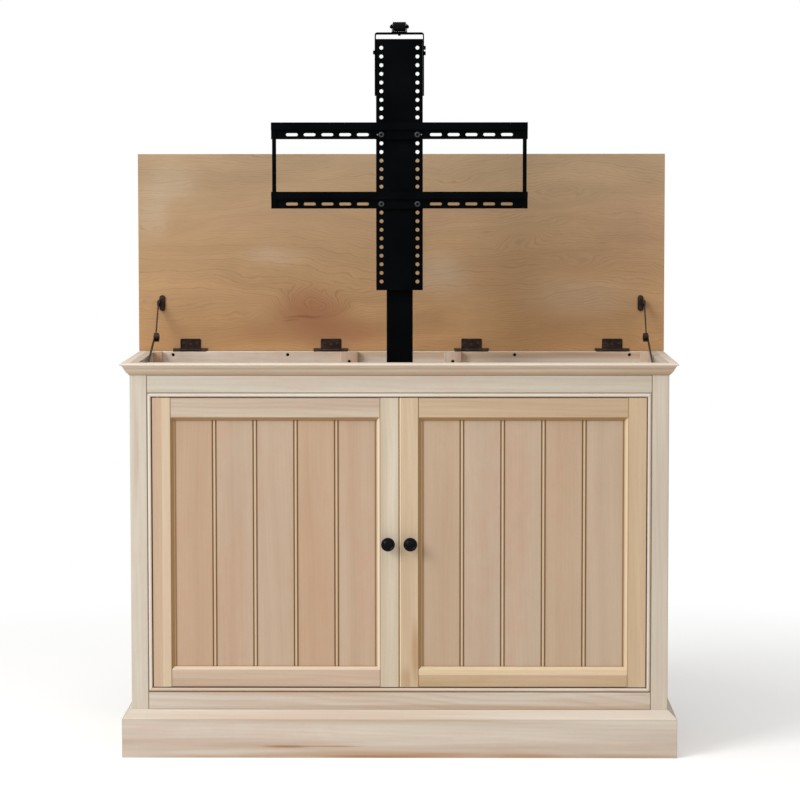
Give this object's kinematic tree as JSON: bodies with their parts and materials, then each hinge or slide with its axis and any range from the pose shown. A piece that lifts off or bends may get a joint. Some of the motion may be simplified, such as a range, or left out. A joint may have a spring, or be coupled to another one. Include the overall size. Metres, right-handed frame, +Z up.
{
  "type": "tv lift cabinet",
  "caption": "Freestanding wooden media cabinet with beadboard doors and a fold-back lid, out of which a telescopic mast raises a slotted frame for a flat screen.",
  "frame": {"origin": "middle of the footprint on the floor, halfway between the door knobs and the back of the open lid", "axes": "+X to the right seen from the front, +Y from the front to the back, +Z up"},
  "size_m": [1.27, 0.5038, 1.6788],
  "materials": {
    "pale_wood": "unfinished sanded hardwood",
    "warm_wood": "unfinished sanded hardwood",
    "panel_wood": "unfinished sanded hardwood",
    "lid_wood": "unfinished veneered plywood",
    "dark_bronze": "dark oiled bronze plating",
    "black_steel": "satin black powder coat",
    "black_knob": "satin black",
    "bright_steel": "zinc plated",
    "roller_rubber": "matt"
  },
  "bodies": {
    "cabinet": {"bottom_panel": "pale_wood", "left_side_panel": "pale_wood", "right_side_panel": "pale_wood", "back_panel": "pale_wood", "rear_top_rail": "pale_wood", "left_rear_post": "pale_wood", "right_rear_post": "pale_wood", "left_corner_post": "pale_wood", "right_corner_post": "pale_wood", "face_frame_left_stile": "pale_wood", "face_frame_right_stile": "pale_wood", "face_frame_top_rail": "pale_wood", "face_frame_bottom_rail": "pale_wood", "crown_front": "pale_wood", "crown_left": "pale_wood", "crown_right": "pale_wood", "plinth_front": "pale_wood", "plinth_left": "pale_wood", "plinth_right": "pale_wood", "lid_hinge_1_rim_leaf": "dark_bronze", "lid_hinge_2_rim_leaf": "dark_bronze", "lid_hinge_3_rim_leaf": "dark_bronze", "lid_hinge_4_rim_leaf": "dark_bronze", "left_stay_side_bracket": "dark_bronze", "right_stay_side_bracket": "dark_bronze", "left_door_upper_pin": "bright_steel", "left_door_lower_pin": "bright_steel", "right_door_upper_pin": "bright_steel", "right_door_lower_pin": "bright_steel", "outer_column": "black_steel", "lift_motor": "black_steel"},
    "lid": {"lid_panel": "lid_wood", "lid_hinge_1_lid_leaf": "dark_bronze", "lid_hinge_2_lid_leaf": "dark_bronze", "lid_hinge_3_lid_leaf": "dark_bronze", "lid_hinge_4_lid_leaf": "dark_bronze", "left_stay_lid_pad": "dark_bronze", "right_stay_lid_pad": "dark_bronze"},
    "left_stay_lower": {"left_stay_lower_arm": "dark_bronze"},
    "left_stay_upper": {"left_stay_upper_arm": "dark_bronze"},
    "left_door": {"left_door_hinge_stile": "pale_wood", "left_door_lock_stile": "pale_wood", "left_door_top_rail": "warm_wood", "left_door_bottom_rail": "warm_wood", "left_door_beadboard_panel": "panel_wood", "left_door_knob": "black_knob"},
    "right_stay_lower": {"right_stay_lower_arm": "dark_bronze"},
    "right_stay_upper": {"right_stay_upper_arm": "dark_bronze"},
    "right_door": {"right_door_hinge_stile": "warm_wood", "right_door_lock_stile": "pale_wood", "right_door_top_rail": "warm_wood", "right_door_bottom_rail": "warm_wood", "right_door_beadboard_panel": "panel_wood", "right_door_knob": "black_knob"},
    "middle_column": {"middle_column": "black_steel"},
    "screen_carriage": {"inner_column": "black_steel", "screen_plate": "black_steel", "screen_frame": "black_steel", "roller_bracket": "black_steel"},
    "lid_roller": {"lid_roller": "roller_rubber"}
  },
  "joints": [
    {"name": "lift_rise", "type": "slide", "parent": "cabinet", "child": "screen_carriage", "axis": [0, 0, 1], "range_m": [-0.914, 0]},
    {"name": "middle_column_rise", "type": "slide", "parent": "cabinet", "child": "middle_column", "axis": [0, 0, 1], "range_m": [-0.457, 0]},
    {"name": "lid_fold", "type": "hinge", "parent": "cabinet", "child": "lid", "pos_m": [0, 0.23162, 0.90525], "axis": [1, 0, 0], "range_deg": [0, 90]},
    {"name": "left_stay_lower_swing", "type": "hinge", "parent": "cabinet", "child": "left_stay_lower", "pos_m": [-0.59, -0.06488, 0.876], "axis": [1, 0, 0], "range_deg": [-39.84, 0]},
    {"name": "left_stay_upper_swing", "type": "hinge", "parent": "lid", "child": "left_stay_upper", "pos_m": [-0.587, 0.22407, 1.01925], "axis": [1, 0, 0], "range_deg": [-33.92, 0]},
    {"name": "right_stay_lower_swing", "type": "hinge", "parent": "cabinet", "child": "right_stay_lower", "pos_m": [0.59, -0.06488, 0.876], "axis": [1, 0, 0], "range_deg": [-39.84, 0]},
    {"name": "right_stay_upper_swing", "type": "hinge", "parent": "lid", "child": "right_stay_upper", "pos_m": [0.587, 0.22407, 1.01925], "axis": [1, 0, 0], "range_deg": [-33.92, 0]},
    {"name": "left_door_swing", "type": "hinge", "parent": "cabinet", "child": "left_door", "pos_m": [-0.5495, -0.21788, 0.492], "axis": [0, 0, -1], "range_deg": [0, 105]},
    {"name": "right_door_swing", "type": "hinge", "parent": "cabinet", "child": "right_door", "pos_m": [0.5495, -0.21788, 0.492], "axis": [0, 0, 1], "range_deg": [0, 105]},
    {"name": "lid_roller_spin", "type": "hinge", "parent": "screen_carriage", "child": "lid_roller", "pos_m": [0, -0.12037, 1.6676], "axis": [1, 0, 0], "continuous": true}
  ],
  "couplings": [
    {"joint": "middle_column_rise", "follows": "lift_rise", "ratio": 0.5},
    {"joint": "lid_fold", "follows": "lift_rise", "rad_per_m": -1.7186},
    {"joint": "left_stay_lower_swing", "follows": "lift_rise", "rad_per_m": 0.75887},
    {"joint": "left_stay_upper_swing", "follows": "lift_rise", "rad_per_m": 0.64588},
    {"joint": "right_stay_lower_swing", "follows": "lift_rise", "rad_per_m": 0.75887},
    {"joint": "right_stay_upper_swing", "follows": "lift_rise", "rad_per_m": 0.64588}
  ]
}
